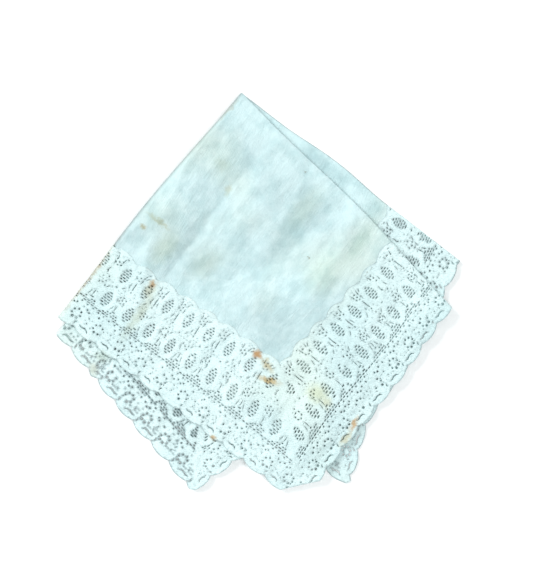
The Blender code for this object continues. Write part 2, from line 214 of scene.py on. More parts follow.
def bowed(name, along, across):
    crossing, first, corner, second = fourCorners(name, "folded")
    edges = {  # its ends, a point on its inner side, the share along it and the nearness to it
        "first": (first, corner, crossing, across, along),
        "second": (second, corner, crossing, along, across),
        "firstFold": (crossing, first, corner, along, 1 - across),
        "secondFold": (crossing, second, corner, across, 1 - along),
    }
    shift = np.zeros((len(along), 2))
    for names, edge, at, halfWidth, depth in bows:
        if name in names:
            start, end, inside, share, near = edges[edge]
            amount = bump(share, at, halfWidth) * np.maximum(0.0, near) ** 3
            shift += outward(start, end, inside) * (depth * amount)[:, None]
    if name == "a":
        reachAlong = np.where(along < pull["along"], pull["reachIn"], pull["reachOut"])
        reachAcross = np.where(across < pull["across"], pull["reachIn"], pull["reachOut"])
        amount = bump(along, pull["along"], reachAlong) * bump(across, pull["across"], reachAcross)
        shift += np.array(pull["move"]) * amount[:, None]
    return shift


def creaseHeight(points):
    total = np.zeros(len(points))
    for crease in creases:
        line = [np.array(point) * mm for point in crease["line"]]
        nearest = np.full(len(points), 1.0)
        side = np.zeros(len(points))
        for start, end in zip(line, line[1:]):
            distance = distanceToLine(points, start, end)
            way = end - start
            cross = way[0] * (points[:, 1] - start[1]) - way[1] * (points[:, 0] - start[0])
            side = np.where(distance < nearest, cross, side)
            nearest = np.minimum(nearest, distance)
        width = np.where(side > 0, crease["lowerRight"], crease["upperLeft"]) * mm
        total += crease["height"] * mm * np.exp(-(nearest / width) ** crease["crisp"])
    return total


def crumpleHeight(points, level):
    turn = math.radians(crumple["direction"])
    along = (points[:, 0] * math.cos(turn) + points[:, 1] * math.sin(turn)) / (crumple["along"] * mm)
    across = (points[:, 1] * math.cos(turn) - points[:, 0] * math.sin(turn)) / (crumple["across"] * mm)
    look = (crumple["fall"], crumple["finer"], crumple["octaves"])
    wave = [noise.fractal((a, b, crumple["ofLevel"] * c), *look) for a, b, c in zip(along, across, level)]
    return np.array(wave) * crumple["height"] * mm


def bend(distance, radius):  # distance in from the fold's edge, and rise from 0 to 1
    quarterTurn = radius * math.pi / 2
    angle = np.minimum(distance / radius, math.pi / 2)
    slack = (quarterTurn - radius) * np.exp(-np.maximum(0.0, distance - quarterTurn) / sheet["slackReach"])
    inset = np.where(distance < quarterTurn, radius * (1 - np.cos(angle)), distance - slack)
    return inset, np.sin(angle)


def turnCorner(flat):  # new places on the flat sheet, and rise from 0 to 1
    start = turnedEdge["start"]
    way = outward(start, turnedEdge["end"], crossingFlat)
    radius = sheet["layerPitch"] / 2
    past = (flat - start) @ way + radius
    angle = np.clip(past / radius, 0.0, math.pi)
    move = np.where(past > 0, radius * np.sin(angle) - past, 0.0)
    move = np.where(past > math.pi * radius, math.pi * radius - 2 * past, move)
    return flat + way * move[:, None], (1 + np.cos(angle)) / 2


def turnedCornerPlace():
    cornersFlat = fourCorners("a", "flat")
    start = turnedEdge["start"]
    end = turnedEdge["end"]
    tip = turnCorner(cornersFlat[2][None, :])[0][0]
    places = np.array([start, (start + end) / 2, end, tip])
    return list(blendCorners(fourCorners("a", "folded"), *sharesOf(cornersFlat, places)))


turnedPlace = turnedCornerPlace()
layersBelow = [fourCorners(name, "folded") for name in "dcb"]


def foldQuarter(name, flat):
    quarter = quarters[name]
    pitch = sheet["layerPitch"]
    turned = np.ones(len(flat))
    if name == "a":
        flat, turned = turnCorner(flat)
    cornersFlat = fourCorners(name, "flat")
    crossing, first, corner, second = cornersFlat
    alongFirst = unit(first - crossing)
    alongSecond = unit(second - crossing)
    fromFirst = -outward(crossing, first, corner)
    fromSecond = -outward(crossing, second, corner)
    firstDistance = np.maximum(0.0, (flat - crossing) @ fromFirst)
    secondDistance = np.maximum(0.0, (flat - crossing) @ fromSecond)
    firstInset, firstRise = bend(firstDistance, pitch / 2)
    secondInset, secondRise = bend(secondDistance, pitch)
    half = quarter["outside"] * pitch / 2 * firstRise
    secondInset = secondInset - half * np.sqrt(np.maximum(0.0, 1 - secondRise ** 2))
    level = 1.5 + quarter["above"] * secondRise * (pitch + half) / pitch
    moved = flat + alongFirst * ((secondInset - secondDistance) / (alongFirst @ fromSecond))[:, None]
    moved = moved + alongSecond * ((firstInset - firstDistance) / (alongSecond @ fromFirst))[:, None]
    along, across = sharesOf(cornersFlat, moved)
    place = blendCorners(fourCorners(name, "folded"), along, across) + bowed(name, along, across)

    height = sheet["lowestMiddle"] + level / 3 * creaseHeight(place)
    height = height + crumpleHeight(place, level) * (0.35 + 0.65 * smooth(level / 2))
    for step, corners in enumerate(layersBelow):
        over = cover(corners, place, sheet["dropMargin"], sheet["dropLength"])
        height = height + pitch * np.clip(level - step, 0.0, 1.0) * over
    if name == "a":
        height = height + pitch * turned * cover(turnedPlace, place, turnedEdge["margin"], turnedEdge["drop"])
    middle = sheet["outlineMiddle"]
    return np.column_stack((place[:, 0] - middle[0], place[:, 1] - middle[1], height))


def foldSheet(flat):  # every point goes to its own quarter
    right, left, top, bottom = [np.array(end["flat"]) for end in foldEnds.values()]
    aim = flat - crossingFlat
    firstEnd = np.where(aim[:, :1] > 0, right - crossingFlat, crossingFlat - left)
    above = firstEnd[:, 0] * aim[:, 1] - firstEnd[:, 1] * aim[:, 0] >= 0
    secondEnd = np.where(above[:, None], top - crossingFlat, crossingFlat - bottom)
    onRight = aim[:, 0] * secondEnd[:, 1] - aim[:, 1] * secondEnd[:, 0] >= 0
    folded = np.zeros((len(flat), 3))
    owners = {"a": onRight & above, "b": onRight & ~above, "c": ~onRight & ~above, "d": ~onRight & above}
    for name, chosen in owners.items():
        if chosen.any():
            folded[chosen] = foldQuarter(name, flat[chosen])
    return folded


def divided(start, end):  # a row of short pieces, so that the fold can bend along its length too
    count = max(1, round(np.linalg.norm(end - start) / sheet["rowSpacing"]))
    shares = np.linspace(0, 1, count + 1)[:, None]
    points = start + (end - start) * shares
    return list(zip(points, points[1:]))


def foldLines():  # lines of the flat sheet that need a row of points
    lines = []
    for fold in foldEnds.values():
        way = unit(np.array(fold["flat"]) - crossingFlat)
        square = np.array((way[1], -way[0]))
        for step in range(-sheet["bendSteps"], sheet["bendSteps"] + 1):
            shift = square * (step / sheet["bendSteps"] * math.pi / 2 * fold["radius"] * sheet["layerPitch"])
            start = crossingFlat + shift
            lines += divided(start, start + way * sheet["rowLength"])
    return lines


def turnedLines():
    start = turnedEdge["start"]
    end = turnedEdge["end"]
    way = outward(start, end, crossingFlat)
    radius = sheet["layerPitch"] / 2
    lines = []
    for step in range(turnedEdge["steps"] + 1):
        shift = way * (radius * (math.pi * step / turnedEdge["steps"] - 1))
        stretch = (end - start) * 0.3
        lines += divided(start + shift - stretch, end + shift + stretch)
    return lines


def triangulate(outline, holes, lines, inner):  # flat points and triangles, with the holes left open
    points = []
    faces = []
    edges = []
    for polygon in [outline] + holes:
        area = sum(x0 * y1 - x1 * y0 for (x0, y0), (x1, y1) in zip(polygon, polygon[1:] + polygon[:1]))
        faces.append(list(range(len(points), len(points) + len(polygon))))
        points.extend(Vector(point) for point in (polygon if area > 0 else polygon[::-1]))
    for start, end in lines:
        edges.append((len(points), len(points) + 1))
        points.append(Vector(start))
        points.append(Vector(end))
    points.extend(Vector(point) for point in inner)
    result = delaunay_2d_cdt(points, edges, faces, 1, 1e-7, True)
    flat = np.array([tuple(point) for point in result[0]])
    triangles = [face for face, source in zip(result[2], result[5]) if list(source) == [0]]
    used = np.unique(np.array(triangles))
    renumber = np.full(len(flat), -1)
    renumber[used] = np.arange(len(used))
    return flat[used], renumber[np.array(triangles)]


def fromFold(flat, fold):  # how far points of the flat sheet are from a fold
    end = np.array(fold["flat"])
    return distanceToLine(flat, crossingFlat, crossingFlat + (end - crossingFlat) * 1.1)


def wornFold(flat):  # painted shade on the folds' rolled edges: 1 on a fold's line and 0 away from it
    worn = np.zeros(len(flat))
    for fold in foldEnds.values():
        worn = np.maximum(worn, fold["shadeAmount"] * (1 - smooth(fromFold(flat, fold) / (fold["worn"] * mm))))
    return worn


def clearOfFolds(points):  # free points only outside the rows of points of the folds
    flat = np.array(points)
    clear = np.ones(len(flat), dtype=bool)
    for fold in foldEnds.values():
        bent = math.pi / 2 * fold["radius"] * sheet["layerPitch"] + sheet["foldClear"]
        clear &= fromFold(flat, fold) > bent
    return [point for point, free in zip(points, clear) if free]


def pointTree(points):
    tree = KDTree(len(points))
    for index, (x, y) in enumerate(points):
        tree.insert((x, y, 0.0), index)
    tree.balance()
    return tree


def makeCloth(name, flat, triangles, thickness, material, worn):  # thickness: one, or one a point
    mesh = bpy.data.meshes.new(name)
    folded = foldSheet(flat)
    mesh.from_pydata(folded.tolist(), [], triangles.tolist())
    layer = mesh.uv_layers.new(name="flatSheet")
    corner = np.zeros(len(mesh.loops), dtype=np.int32)
    mesh.loops.foreach_get("vertex_index", corner)
    layer.data.foreach_set("uv", (flat[corner] / (2 * sheet["halfSide"]) + 0.5).ravel())
    # painted shade as a point attribute from 0 to 1, which the material multiplies in
    mesh.attributes.new("worn", "FLOAT", "POINT").data.foreach_set("value", worn.astype(np.float32))
    mesh.shade_smooth()
    mesh.materials.append(material)
    piece = bpy.data.objects.new(name, mesh)
    bpy.context.scene.collection.objects.link(piece)
    solid = piece.modifiers.new("cloth thickness", "SOLIDIFY")
    solid.offset = 0.0
    solid.thickness = float(np.max(thickness))
    if np.ndim(thickness):
        group = piece.vertex_groups.new(name="thickness")
        shares = np.round(thickness / np.max(thickness), 2)
        for share in np.unique(shares):
            group.add(np.nonzero(shares == share)[0].tolist(), float(share), "REPLACE")
        solid.vertex_group = "thickness"
    return piece


# Materials

bandLength = 3.1416  # a wave texture with scale 1 has a band in every such length


def linear(text):  # sRGB hex to the linear colour that the shader takes
    parts = [int(text[i:i + 2], 16) / 255 for i in (1, 3, 5)]
    return tuple(p / 12.92 if p <= 0.04045 else ((p + 0.055) / 1.055) ** 2.4 for p in parts) + (1.0,)


def addNode(tree, kind, settings=None, links=None):  # a link from a node takes its first output
    node = tree.nodes.new("ShaderNode" + kind)
    for key, value in (settings or {}).items():
        if isinstance(key, str) and hasattr(node, key):
            setattr(node, key, value)
        else:
            node.inputs[key].default_value = value
    for key, source in (links or {}).items():
        tree.links.new(source.outputs[0] if isinstance(source, bpy.types.Node) else source, node.inputs[key])
    return node


# Stains of rust and age, a brown line along the left fold's edge, and grey-blue patches of painted shade on
# the shaded sides of creases and beside the top layer's edge, in millimetres on the folded cloth: x, y, half
# width, half length, lean in degrees, colour and strength
stainsAndPaintedShade = [
    (-55.1, 4.1, 2.0, 2.6, -30, "#DDA878", 0.80),
    (-56.5, 1.0, 3.4, 5.5, -30, "#DCC9A8", 0.60),
    (-62.0, -12.0, 3.2, 17.0, -36, "#D9D3BE", 0.60),
    (-59.5, 33.5, 2.0, 1.7, 10, "#D3B483", 0.75),
    (-52.0, 36.5, 8.0, 1.8, -38, "#DBCDA8", 0.60),
    (-49.0, 22.0, 6.5, 13.0, -38, "#E0DFCC", 0.50),
    (-27.0, 14.0, 7.0, 15.0, -62, "#E2E0D0", 0.35),
    (24.0, 43.0, 7.0, 17.0, -40, "#E0E2D2", 0.40),
    (34.0, 10.0, 10.0, 15.0, -30, "#E6EAD6", 0.30),
    (-0.6, -32.6, 3.4, 2.4, -35, "#DD8F3C", 0.85),
    (4.4, -38.0, 2.6, 5.5, 38, "#E2B878", 0.65),
    (5.4, -46.2, 6.5, 2.2, -18, "#DDA545", 0.75),
    (30.6, -53.0, 7.5, 6.0, -30, "#EFE4B4", 0.50),
    (35.5, -58.0, 3.0, 4.0, 0, "#E3C98A", 0.35),
    (49.5, -69.0, 1.6, 5.0, -25, "#DF9A4C", 0.75),
    (45.5, -76.5, 2.0, 6.0, -42, "#E3BE88", 0.55),
    (-23.4, -75.8, 2.0, 2.0, 0, "#DB9E50", 0.75),
    (-16.0, 52.6, 2.2, 3.4, -20, "#DECDA2", 0.35),
    (-19.0, 66.0, 5.5, 4.0, -20, "#E6E4D4", 0.35),
    (24.5, 62.3, 0.7, 0.6, 0, "#A8957E", 0.60),
    (26.0, 17.5, 0.8, 0.7, 0, "#A88F6C", 0.60),
    # a darker brown line along the left fold's edge
    (-87.4, 9.0, 2.0, 30.0, -37, "#C9A98C", 0.75),
    # painted shade: the next six grey-blue patches darken crease troughs, shaded slopes and the strip beside
    # the top layer's edge
    (-13.5, 17.6, 8.0, 24.0, -73, "#CBD9DA", 0.15),
    (20.8, 31.1, 8.0, 24.0, -42, "#CBD9DA", 0.40),
    (52.5, 25.6, 4.5, 13.0, -33, "#D0DED8", 0.60),
    (-30.5, 35.0, 3.6, 24.0, -33, "#CAD8D6", 0.15),
    (34.8, 65.9, 4.0, 20.0, 52, "#C5D8DB", 0.40),
    (59.8, 42.5, 7.0, 6.0, 20, "#C5D8DB", 0.50),
    (-85.8, -40.1, 3.0, 4.0, 0, "#DCCBB4", 0.50),
    (-81.1, -33.9, 5.0, 4.0, 0, "#C9CDBB", 0.50),
    (-16.0, 94.0, 1.6, 10.0, -41, "#DDC0A4", 0.40),
]


def newMaterial(name):
    material = bpy.data.materials.new(name)
    material.use_nodes = True
    material.node_tree.nodes.clear()
    return material, material.node_tree


def mixColour(tree, first, second, amount, blend="MIX"):  # a colour is sRGB hex or comes from a node
    mix = addNode(tree, "Mix", {"data_type": "RGBA", "blend_type": blend}, {0: amount})
    for key, colour in ((6, first), (7, second)):
        if isinstance(colour, str):
            mix.inputs[key].default_value = linear(colour)
        else:
            tree.links.new(colour, mix.inputs[key])
    return mix.outputs[2]


def patches(tree, place, look, low, high, most):  # noise from low to high as an amount from 0 to most
    spots = addNode(tree, "TexNoise", look, {"Vector": place})
    return addNode(tree, "MapRange", {"From Min": low, "From Max": high, "To Max": most}, {"Value": spots})


# stains, and patches of painted shade, multiplied into the colour
def addStainsAndPaintedShade(tree, colour, position):
    wobble = addNode(tree, "TexNoise", {"Scale": 420.0, "Detail": 3.0}, {"Vector": position}).outputs["Color"]
    centred = addNode(tree, "VectorMath", {"operation": "SUBTRACT", 1: (0.5, 0.5, 0.5)}, {0: wobble})
    shaken = addNode(tree, "VectorMath", {"operation": "SCALE", "Scale": 4.5 * mm}, {0: centred})
    moved = addNode(tree, "VectorMath", {"operation": "ADD"}, {0: position, 1: shaken})
    for x, y, across, along, lean, tint, strength in stainsAndPaintedShade:
        oblong = {"vector_type": "TEXTURE", "Location": (x * mm, y * mm, 0.0),
                  "Rotation": (0.0, 0.0, math.radians(lean)), "Scale": (across * mm, along * mm, 1.0)}
        fade = {"interpolation_type": "SMOOTHERSTEP", "From Min": 0.0, "From Max": 1.4,
                "To Min": strength, "To Max": 0.0}
        place = addNode(tree, "Mapping", oblong, {"Vector": moved})
        far = addNode(tree, "VectorMath", {"operation": "LENGTH"}, {0: place}).outputs["Value"]
        spot = addNode(tree, "MapRange", fade, {"Value": far})
        colour = mixColour(tree, colour, tint, spot, "MULTIPLY")
    return colour


def addPaintedShade(tree, colour, look):  # painted shade: darker on the folds' rolled edges, round the rims of the holes and along the lace's edges
    worn = addNode(tree, "Attribute", {"attribute_name": "worn"}).outputs["Fac"]
    amount = addNode(tree, "Math", {"operation": "MULTIPLY", 1: look["worn"]}, {0: worn})
    return mixColour(tree, colour, look["wornTo"], amount, "MULTIPLY")


def addFibres(tree, colour, bump, look):  # matte fibres that let a little light through
    fibre = {"Roughness": look["rough"], "IOR": 1.5, "Specular IOR Level": 0.25,
             "Sheen Weight": look["sheen"], "Sheen Roughness": 0.5}
    matte = addNode(tree, "BsdfPrincipled", fibre, {"Base Color": colour, "Normal": bump})
    through = addNode(tree, "BsdfTranslucent", {}, {"Color": colour, "Normal": bump})
    mixed = addNode(tree, "MixShader", {0: look["sheer"]}, {1: matte, 2: through})
    addNode(tree, "OutputMaterial", {}, {"Surface": mixed})


def makeBatiste():
    # Cotton batiste, plain woven and bleached: matte, a little sheer, with a fine even grain
    look = {
        "light": "#DFF8FA", "grey": "#D1E8EA", "warm": "#DCE9DC", "mottle": "#E1ECED",
        # worn and wornTo: strength and colour of the painted shade on the folds
        "worn": 0.75, "wornTo": "#6E6A66", "rough": 0.9, "sheen": 0.15, "sheer": 0.15,
        "thread": 0.55 * mm,  # real thread 0.25 mm
    }
    material, tree = newMaterial("cottonBatisteWoven")
    position = addNode(tree, "TexCoord").outputs["Object"]
    flat = addNode(tree, "UVMap", {"uv_map": "flatSheet"})
    threads = []
    for direction in ("X", "Y"):
        bands = {"bands_direction": direction, "wave_profile": "SIN", "Distortion": 0.6, "Detail": 1.0,
                 "Scale": 2 * sheet["halfSide"] / look["thread"] / bandLength}
        threads.append(addNode(tree, "TexWave", bands, {"Vector": flat}).outputs["Fac"])
    weave = addNode(tree, "Math", {"operation": "ADD"}, {0: threads[0], 1: threads[1]})
    stretched = addNode(tree, "Mapping", {"Scale": (330.0, 42.0, 1.0)}, {"Vector": flat})
    slub = addNode(tree, "TexNoise", {"Scale": 1.0, "Detail": 3.0}, {"Vector": stretched})
    relief = addNode(tree, "Math", {"operation": "MULTIPLY_ADD", 1: 0.25}, {0: weave, 2: slub})
    bump = addNode(tree, "Bump", {"Strength": 0.8, "Distance": 0.5 * mm}, {"Height": relief})

    broad = {"Scale": 24.0, "Detail": 3.0, "Roughness": 0.55}
    aged = {"noise_dimensions": "4D", "Scale": 15.0, "Detail": 2.0, "W": 3.0}
    fine = {"Scale": 95.0, "Detail": 4.0, "Roughness": 0.65}
    colour = mixColour(tree, look["light"], look["grey"], patches(tree, position, broad, 0.38, 0.66, 1.0))
    colour = mixColour(tree, colour, look["warm"], patches(tree, position, aged, 0.52, 0.72, 0.7))
    mottle = patches(tree, position, fine, 0.42, 0.62, 0.60)
    colour = mixColour(tree, colour, look["mottle"], mottle, "MULTIPLY")
    colour = addPaintedShade(tree, addStainsAndPaintedShade(tree, colour, position), look)
    addFibres(tree, colour, bump, look)
    return material


def makeLaceThread():
    # Cotton lace, machine made: dense matte clothwork of fine threads, with a grain across the lace
    look = {
        "light": "#EAFEFE", "grey": "#DDF5F6", "warm": "#EAF6EA", "thin": "#B4CED2",
        # worn and wornTo: strength and colour of the painted shade round the holes and along the edges
        "worn": 0.55, "wornTo": "#6F8086", "rough": 0.88, "sheen": 0.12, "sheer": 0.20,
        "thread": 0.50 * mm,  # real thread 0.3 mm
    }
    material, tree = newMaterial("cottonLaceMachineMade")
    position = addNode(tree, "TexCoord").outputs["Object"]
    flat = addNode(tree, "UVMap", {"uv_map": "flatSheet"})
    bands = {"bands_direction": "DIAGONAL", "Distortion": 3.0, "Detail": 2.0, "Detail Scale": 60.0,
             "Scale": 2 * sheet["halfSide"] / look["thread"] / bandLength}
    threads = addNode(tree, "TexWave", bands, {"Vector": flat}).outputs["Fac"]
    slub = addNode(tree, "TexNoise", {"Scale": 900.0, "Detail": 3.0}, {"Vector": position})
    relief = addNode(tree, "Math", {"operation": "MULTIPLY_ADD", 1: 1.5}, {0: slub, 2: threads})
    bump = addNode(tree, "Bump", {"Strength": 0.5, "Distance": 0.2 * mm}, {"Height": relief})

    across = {"Rotation": (0.0, 0.0, math.radians(-62)), "Scale": (650.0, 1900.0, 1.0)}
    grain = addNode(tree, "Mapping", across, {"Vector": position})
    broad = {"Scale": 30.0, "Detail": 3.0}
    strokes = {"Scale": 1.0, "Detail": 1.5}
    aged = {"noise_dimensions": "4D", "Scale": 13.0, "Detail": 2.0, "W": 8.0}
    colour = mixColour(tree, look["light"], look["grey"], patches(tree, position, broad, 0.40, 0.70, 1.0))
    thin = patches(tree, grain, strokes, 0.52, 0.70, 0.55)
    colour = mixColour(tree, colour, look["thin"], thin)
    colour = mixColour(tree, colour, look["warm"], patches(tree, position, aged, 0.50, 0.72, 0.8))
    colour = addPaintedShade(tree, addStainsAndPaintedShade(tree, colour, position), look)
    addFibres(tree, colour, bump, look)
    return material


def makeFloorMaterial():
    # Matte painted board: plain and pale, with the faintest mottle
    material, tree = newMaterial("paintedBoardMatte")
    position = addNode(tree, "TexCoord").outputs["Object"]
    mottle = addNode(tree, "TexNoise", {"Scale": 6.0, "Detail": 2.0}, {"Vector": position})
    paint = {"Roughness": 0.95, "Specular IOR Level": 0.1}
    colour = mixColour(tree, "#F4F5F5", "#F7F8F8", mottle)
    shader = addNode(tree, "BsdfPrincipled", paint, {"Base Color": colour})
    addNode(tree, "OutputMaterial", {}, {"Surface": shader})
    return material


# The lace, charted over one repeat in millimetres: x runs along the edge from the middle of a
# flower, y runs outward from the centre cloth

lace = {
    "repeat": 300 / 22,
    "scallopDepth": 2.3, "scallopPower": 0.6, "scallopTop": 3.3,  # x of the top of an outer scallop
    "scallopFade": 6.0,                    # from where it fades out to the mitre
    "innerScallop": 2.3, "innerPower": 1.1,
    "windowRows": (9.2, 24.5), "windowWidth": 5.2, "windowLength": 8.2,
    "meshRow": 1.26, "meshPitch": 2.35, "meshLength": 2.05, "meshWidth": 0.70, "meshLeast": 0.6,
    "netRows": (28.2, 30.9), "netPitch": (1.50, 1.28), "netHole": (1.26, 0.72), "netLean": 13.0,
    "petalWidth": 10.2, "petalLength": 14.6, "petalLine": 0.24, "petalLineOut": 0.51,
    "waveOuter": 31.9, "waveInner": 29.9, "waveSwing": 1.8,
    "flower": 40.0, "flowerRadius": 2.45, "flowerHoles": 7, "flowerHole": 1.1,
    "groundPitch": 2.00, "groundHole": (0.75, 0.28), "groundRows": (1.9, 44.0), "groundClear": 0.72,
    "mitreBorder": 1.6, "outerBorder": 0.9, "innerBorder": 2.0,  # no holes this near to the edges
    "mitrePoints": 48,
    "solidPoints": 1.15,                   # spacing of the points of the solid parts
    "edgeStep": 0.85,
    "wander": 0.07,                        # how far a hole strays from its place
    "sizes": (0.92, 1.05),
}

# The share of the repeats in which a hole of each kind is open
openShares = {"mesh": 0.96, "net": 0.88, "netEdge": 0.95, "flower": 0.90, "single": 0.80, "slit": 0.90,
              "petalLine": 0.55, "ground": 0.70}

# Single holes: x, y, width, length, lean in degrees
singleHoles = [
    (0.0, 5.3, 1.0, 0.85, 0), (0.3, 3.5, 1.3, 0.65, 0), (-1.6, 4.4, 0.65, 1.2, 10),
    (1.8, 4.5, 0.65, 1.1, -10), (-1.6, 6.3, 0.65, 1.2, -35), (1.5, 6.4, 0.65, 1.2, 35),
    (0.0, 7.2, 1.2, 0.55, 0), (-0.6, 14.5, 0.8, 0.9, 0), (1.7, 12.6, 0.45, 1.6, 20),
    (6.8, 1.9, 0.9, 0.5, 0), (6.9, 16.6, 1.2, 0.55, 10), (3.0, 1.7, 1.1, 0.45, 20),
    (10.7, 1.7, 1.1, 0.45, -10), (0.0, 20.5, 1.0, 0.85, 0), (0.2, 18.8, 1.3, 0.60, 0),
    (-1.6, 19.6, 0.65, 1.1, 10), (1.7, 19.7, 0.65, 1.1, -10), (-1.5, 21.4, 0.65, 1.2, -35),
    (1.4, 21.5, 0.65, 1.2, 35), (0.0, 22.3, 1.2, 0.55, 0), (-0.8, 17.4, 0.8, 0.6, 20),
    (3.4, 35.0, 0.8, 1.1, 10), (4.6, 35.8, 0.85, 1.0, 40), (6.7, 35.0, 1.05, 1.0, 0),
    (8.8, 36.1, 1.15, 1.0, 20), (10.4, 35.3, 1.1, 1.0, 0), (2.0, 33.0, 1.0, 0.8, 12),
    (5.3, 33.0, 1.0, 0.8, 12), (8.7, 32.9, 1.0, 0.8, 12), (12.2, 33.1, 1.0, 0.8, 12),
    (6.8, 38.4, 0.7, 0.7, 0), (6.3, 41.2, 0.45, 1.1, 50), (10.6, 39.4, 0.6, 0.6, 0),
    (3.4, 42.2, 0.4, 0.9, 60), (11.0, 41.6, 0.4, 1.1, 20),
]

# Slits: their points and width
slits = [
    ([(2.8, 45.3), (3.7, 44.3), (5.3, 43.9), (7.1, 44.4), (8.7, 43.9)], 0.62),
    ([(10.6, 43.2), (11.2, 44.0), (11.3, 45.0)], 0.72),
    ([(0.2, 23.9), (0.0, 25.8), (0.1, 27.6)], 0.40),
    ([(-0.1, 8.3), (-0.2, 9.6), (-0.3, 11.2), (-0.5, 12.8), (-0.6, 13.7)], 0.44),
    ([(2.3, 2.3), (1.9, 3.4), (2.0, 4.4)], 0.36),
    ([(11.4, 2.3), (11.8, 3.4), (11.7, 4.4)], 0.36),
]

# Thin lines of open work round a petal: from and to, in degrees
petalLines = [(-58, -38), (-26, -8), (8, 30), (118, 138), (152, 174), (190, 212)]


def oval(x, y, width, length, lean, count):
    turn = math.radians(lean)
    points = []
    for step in range(count):
        angle = 2 * math.pi * (step + 0.5) / count
        across = math.cos(angle) * width / 2
        along = math.sin(angle) * length / 2
        points.append((x + across * math.cos(turn) - along * math.sin(turn),
                       y + across * math.sin(turn) + along * math.cos(turn)))
    return points


def slit(points, width):
    left = []
    right = []
    for index, (x, y) in enumerate(points):
        before = points[max(0, index - 1)]
        after = points[min(len(points) - 1, index + 1)]
        way = math.hypot(after[0] - before[0], after[1] - before[1])
        squareX = -(after[1] - before[1]) / way
        squareY = (after[0] - before[0]) / way
        half = width / 2 * (0.35 if index in (0, len(points) - 1) else 1.0)
        left.append((x + squareX * half, y + squareY * half))
        right.append((x - squareX * half, y - squareY * half))
    return right + left[::-1]


def petalDistance(x, y):  # 1 on the edge of the nearest petal, less inside it
    across = (x - lace["repeat"] / 2) / (lace["petalWidth"] / 2)
    return min(math.hypot(across, (y - row) / (lace["petalLength"] / 2)) for row in lace["windowRows"])


def waveInner(x):
    return lace["waveInner"] - lace["waveSwing"] * math.cos(2 * math.pi * x / lace["repeat"])


def windowHoles():  # long meshes in the middle of each petal, laid like bricks
    holes = []
    pitch = lace["meshPitch"]
    half = lace["windowLength"] / 2
    rows = int(half / lace["meshRow"])
    for middle in lace["windowRows"]:
        for row in range(-rows, rows + 1):
            outwards = row * lace["meshRow"]
            narrow = math.sqrt(1 - (outwards / half) ** 2)
            reach = lace["windowWidth"] / 2 * narrow * (0.92 + 0.08 * outwards / half)
            for place in ((-pitch, 0.0, pitch) if row % 2 else (-pitch / 2, pitch / 2)):
                low = max(place - lace["meshLength"] / 2, -reach)
                high = min(place + lace["meshLength"] / 2, reach)
                if high - low > lace["meshLeast"]:
                    x = lace["repeat"] / 2 + (low + high) / 2
                    holes.append(oval(x, middle + outwards, high - low, lace["meshWidth"], 2, 8))
    return holes


def netHoles():  # the net inside the wavy line
    holes = []
    acrossPitch, alongPitch = lace["netPitch"]
    width, length = lace["netHole"]
    lowest, highest = lace["netRows"]
    columns = int(lace["repeat"] / acrossPitch) + 1
    for row in range(int((highest - lowest) / alongPitch) + 1):
        for column in range(columns):
            x = (column + 0.5 * (row % 2)) * lace["repeat"] / (columns - 0.5)
            y = lowest + row * alongPitch
            if x < lace["repeat"] - 0.3 and waveInner(x) < y:
                holes.append(oval(x, y, width, length, lace["netLean"], 6))
    return holes


def flowerHoles():  # a ring of holes, the outer ones larger
    holes = []
    for step in range(lace["flowerHoles"]):
        angle = 2 * math.pi * step / lace["flowerHoles"] + 0.35
        x = lace["flowerRadius"] * math.cos(angle)
        y = lace["flower"] + lace["flowerRadius"] * math.sin(angle)
        size = lace["flowerHole"] * (1.35 if y > lace["flower"] + 1.2 and x < 0.8 else 1.0)
        holes.append(oval(x, y, size, size * 0.95, math.degrees(angle), 8))
    return holes


def petalSlits():
    holes = []
    middle = lace["repeat"] / 2
    across = lace["petalLineOut"] * lace["petalWidth"]
    outwards = lace["petalLineOut"] * lace["petalLength"]
    for row in lace["windowRows"]:
        for first, last in petalLines:
            points = []
            for step in range(6):
                angle = math.radians(first + (last - first) * step / 5)
                points.append((middle + across * math.cos(angle), row + outwards * math.sin(angle)))
            holes.append(slit(points, lace["petalLine"]))
    return holes


def groundHoles(others):  # fine open ground between the petals, clear of the other holes
    shifts = (-lace["repeat"], 0.0, lace["repeat"])
    tree = pointTree([(x + shift, y) for hole in others for x, y in hole for shift in shifts])
    holes = []
    pitch = lace["groundPitch"]
    width, length = lace["groundHole"]
    columns = round(lace["repeat"] / pitch)
    for row in range(int(lace["groundRows"][1] / (pitch * 0.87))):
        y = lace["groundRows"][0] + row * pitch * 0.87
        for column in range(columns):
            x = (column + 0.5 * (row % 2)) * lace["repeat"] / columns
            petals = petalDistance(x, y) < 1.0
            flower = math.hypot(min(x, lace["repeat"] - x), y - lace["flower"]) < 4.0
            band = waveInner(x) - 1.3 < y < lace["waveOuter"] + 0.9 or y > 43.3
            if petals or flower or band or tree.find((x, y, 0.0))[2] < lace["groundClear"]:
                continue
            holes.append(oval(x, y, width, length, lace["netLean"], 4))
    return holes


def chartHoles():  # each hole of a repeat, and the share of the repeats in which it is open
    edgeX = [(step + 0.5) * lace["repeat"] / 6 for step in range(6)]
    kinds = {
        "mesh": windowHoles(),
        "net": netHoles(),
        "netEdge": [oval(x, lace["waveOuter"] - 0.1, 1.9, 0.62, 5, 8) for x in edgeX],
        "flower": flowerHoles(),
        "single": [oval(*hole, 6) for hole in singleHoles],
        "slit": [slit(*line) for line in slits],
        "petalLine": petalSlits(),
    }
    kinds["ground"] = groundHoles([hole for holes in kinds.values() for hole in holes])
    return [(hole, openShares[kind]) for kind, holes in kinds.items() for hole in holes]


def onEdge(length, pattern):  # from the even pattern to its place along the edge, past the tuck
    tuck = length["tuck"]
    past = smooth((pattern - tuck["at"]) / tuck["over"] + 0.5)
    return pattern + length["shift"] + tuck["take"] * (1 - past)


